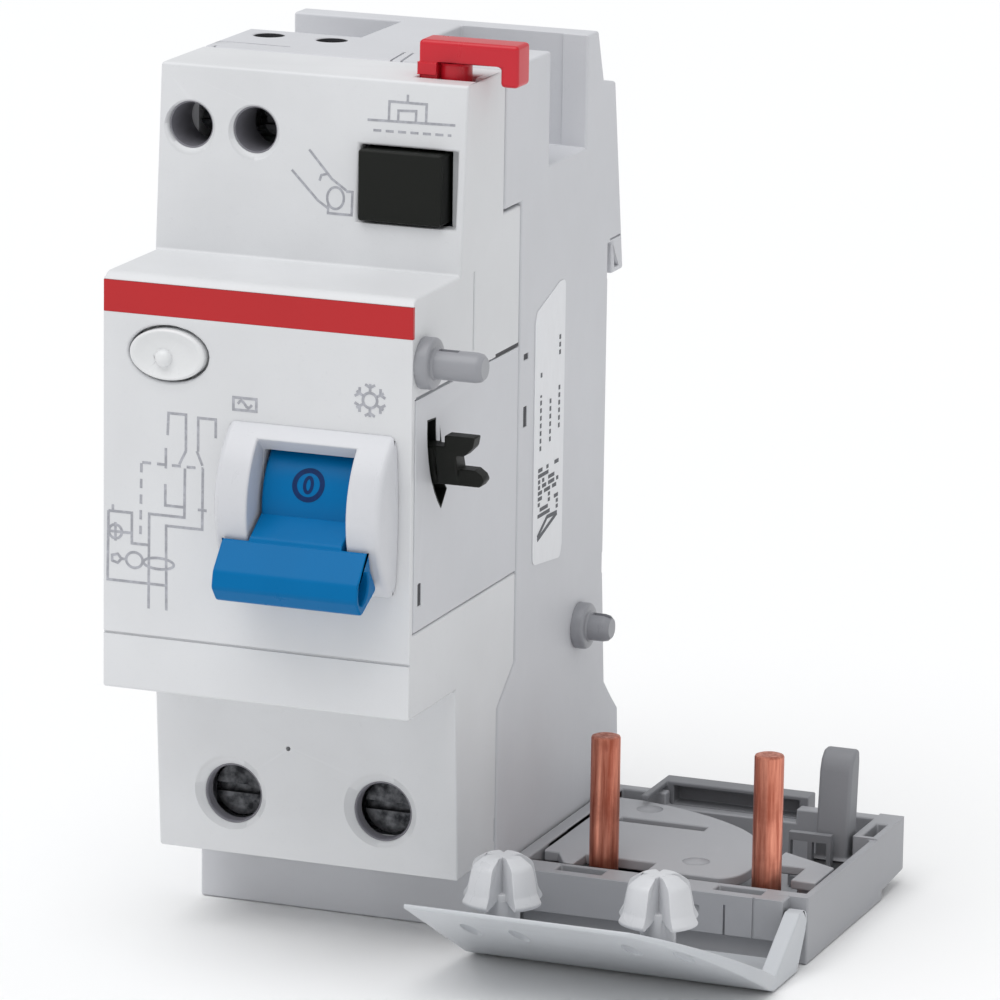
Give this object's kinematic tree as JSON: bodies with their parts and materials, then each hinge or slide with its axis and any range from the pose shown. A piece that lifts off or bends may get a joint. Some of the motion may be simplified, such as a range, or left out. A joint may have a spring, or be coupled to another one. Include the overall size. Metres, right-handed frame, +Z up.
{
  "type": "residual current device",
  "caption": "Two-module residual current block for a rail, with front toggle, test button, side trip fork and a terminal tray with a hinged flap.",
  "frame": {"origin": "middle of the block's seat on the 35 mm rail: centre of its width, on the rail face, at the middle of the nose's height", "axes": "+Z up, +X to the right seen from the front, +Y towards the rail; the nose and toggle face -Y"},
  "size_m": [0.07, 0.073, 0.0994],
  "materials": {
    "casing": "fine-grained moulded light grey",
    "bezel": "smooth white moulded",
    "tray": "moulded mid grey",
    "flap": "satin light grey",
    "red": "satin red",
    "blue": "satin blue",
    "black": "moulded black",
    "label": "matt film",
    "inner_plastic": "natural moulded",
    "board": "coated laminate",
    "copper": "drawn copper",
    "winding": "enamelled copper wire",
    "steel": "zinc-plated steel",
    "core": "wound core strip"
  },
  "bodies": {
    "casing": {"front_housing": "casing", "rear_housing": "casing", "side_panel": "casing", "toggle_bezel": "bezel", "front_stripe": "red", "side_label": "label", "mechanism_frame": "inner_plastic", "toggle_pin": "steel", "toggle_spring": "steel", "trip_shaft": "steel", "latch_pin": "steel", "trip_relay": "inner_plastic", "test_contact": "copper", "circuit_board": "board", "test_resistor": "inner_plastic", "toroid_core": "core", "toroid_winding": "winding", "conductor_1": "copper", "conductor_2": "copper", "locating_pin_front": "tray", "locating_pin_rear": "tray", "rail_clip_spring": "steel", "tray_base": "tray", "tray_cover": "tray", "tray_side_plate": "tray", "tray_frame": "tray", "tray_guide": "tray", "copper_pin_1": "copper", "copper_pin_2": "copper", "flap_pin_1": "steel", "flap_pin_2": "steel"},
    "toggle": {"toggle": "blue"},
    "trip_lever": {"trip_lever": "black"},
    "release_latch": {"release_latch": "black"},
    "relay_plunger": {"relay_plunger": "steel"},
    "test_button": {"test_button": "bezel"},
    "lock_button": {"lock_button": "black"},
    "locking_clip": {"locking_clip": "red"},
    "terminal_screw_1": {"terminal_screw_1": "steel"},
    "terminal_clamp_1": {"terminal_clamp_1": "steel"},
    "terminal_screw_2": {"terminal_screw_2": "steel"},
    "terminal_clamp_2": {"terminal_clamp_2": "steel"},
    "aux_screw_1": {"aux_screw_1": "steel"},
    "aux_clamp_1": {"aux_clamp_1": "steel"},
    "aux_screw_2": {"aux_screw_2": "steel"},
    "aux_clamp_2": {"aux_clamp_2": "steel"},
    "rail_clip": {"rail_clip": "tray"},
    "tray_latch": {"tray_latch": "tray"},
    "terminal_flap": {"terminal_flap": "flap", "flap_plug_1": "flap", "flap_plug_2": "flap"}
  },
  "joints": [
    {"name": "toggle_turn", "type": "hinge", "parent": "casing", "child": "toggle", "pos_m": [0.0064, -0.0518, -0.0007], "axis": [-1, 0, 0], "range_deg": [0, 46]},
    {"name": "trip_lever_turn", "type": "hinge", "parent": "casing", "child": "trip_lever", "pos_m": [0.0146, -0.041, 0.008], "axis": [1, 0, 0], "range_deg": [0, 9]},
    {"name": "release_latch_turn", "type": "hinge", "parent": "casing", "child": "release_latch", "pos_m": [0.0065, -0.035, 0.014], "axis": [-1, 0, 0], "range_deg": [0, 12]},
    {"name": "relay_plunger_slide", "type": "slide", "parent": "casing", "child": "relay_plunger", "axis": [0, 1, 0], "range_m": [0, 0.0012]},
    {"name": "test_button_press", "type": "slide", "parent": "casing", "child": "test_button", "axis": [0, 1, 0], "range_m": [0, 0.0015], "stiffness_N_per_m": 800, "springref_m": -0.001},
    {"name": "lock_button_press", "type": "slide", "parent": "casing", "child": "lock_button", "axis": [0, 1, 0], "range_m": [0, 0.0025]},
    {"name": "locking_clip_press", "type": "slide", "parent": "casing", "child": "locking_clip", "axis": [0, 0, -1], "range_m": [0, 0.0016]},
    {"name": "terminal_screw_1_turn", "type": "hinge", "parent": "casing", "child": "terminal_screw_1", "pos_m": [-0.0089, -0.04, -0.0373], "axis": [0, 1, 0], "range_deg": [0, 720]},
    {"name": "terminal_clamp_1_slide", "type": "slide", "parent": "casing", "child": "terminal_clamp_1", "axis": [0, -1, 0], "range_m": [0, 0.0014]},
    {"name": "terminal_screw_2_turn", "type": "hinge", "parent": "casing", "child": "terminal_screw_2", "pos_m": [0.0086, -0.04, -0.0373], "axis": [0, 1, 0], "range_deg": [0, 720]},
    {"name": "terminal_clamp_2_slide", "type": "slide", "parent": "casing", "child": "terminal_clamp_2", "axis": [0, -1, 0], "range_m": [0, 0.0014]},
    {"name": "aux_screw_1_turn", "type": "hinge", "parent": "casing", "child": "aux_screw_1", "pos_m": [-0.014, -0.036, 0.036], "axis": [0, 1, 0], "range_deg": [0, 720]},
    {"name": "aux_clamp_1_slide", "type": "slide", "parent": "casing", "child": "aux_clamp_1", "axis": [0, -1, 0], "range_m": [0, 0.001]},
    {"name": "aux_screw_2_turn", "type": "hinge", "parent": "casing", "child": "aux_screw_2", "pos_m": [-0.0066, -0.036, 0.036], "axis": [0, 1, 0], "range_deg": [0, 720]},
    {"name": "aux_clamp_2_slide", "type": "slide", "parent": "casing", "child": "aux_clamp_2", "axis": [0, -1, 0], "range_m": [0, 0.001]},
    {"name": "rail_clip_slide", "type": "slide", "parent": "casing", "child": "rail_clip", "axis": [0, 0, -1], "range_m": [0, 0.004], "stiffness_N_per_m": 500, "springref_m": -0.004, "deforming": ["rail_clip_spring"]},
    {"name": "tray_latch_bend", "type": "hinge", "parent": "casing", "child": "tray_latch", "pos_m": [0.0473, -0.0043, -0.049], "axis": [-1, 0, 0], "range_deg": [0, 6], "stiffness_Nm_per_rad": 0.5, "springref_deg": -2.86},
    {"name": "terminal_flap_turn", "type": "hinge", "parent": "casing", "child": "terminal_flap", "pos_m": [0.0352, -0.0306, -0.0476], "axis": [-1, 0, 0], "range_deg": [0, 45]}
  ],
  "couplings": [
    {"joint": "trip_lever_turn", "follows": "toggle_turn", "ratio": 0.195},
    {"joint": "release_latch_turn", "follows": "toggle_turn", "ratio": 0.26},
    {"joint": "relay_plunger_slide", "follows": "toggle_turn", "m_per_rad": 0.00149},
    {"joint": "terminal_screw_1_turn", "follows": "terminal_clamp_1_slide", "rad_per_m": 8975},
    {"joint": "terminal_screw_2_turn", "follows": "terminal_clamp_2_slide", "rad_per_m": 8975},
    {"joint": "aux_screw_1_turn", "follows": "aux_clamp_1_slide", "rad_per_m": 12566},
    {"joint": "aux_screw_2_turn", "follows": "aux_clamp_2_slide", "rad_per_m": 12566}
  ]
}
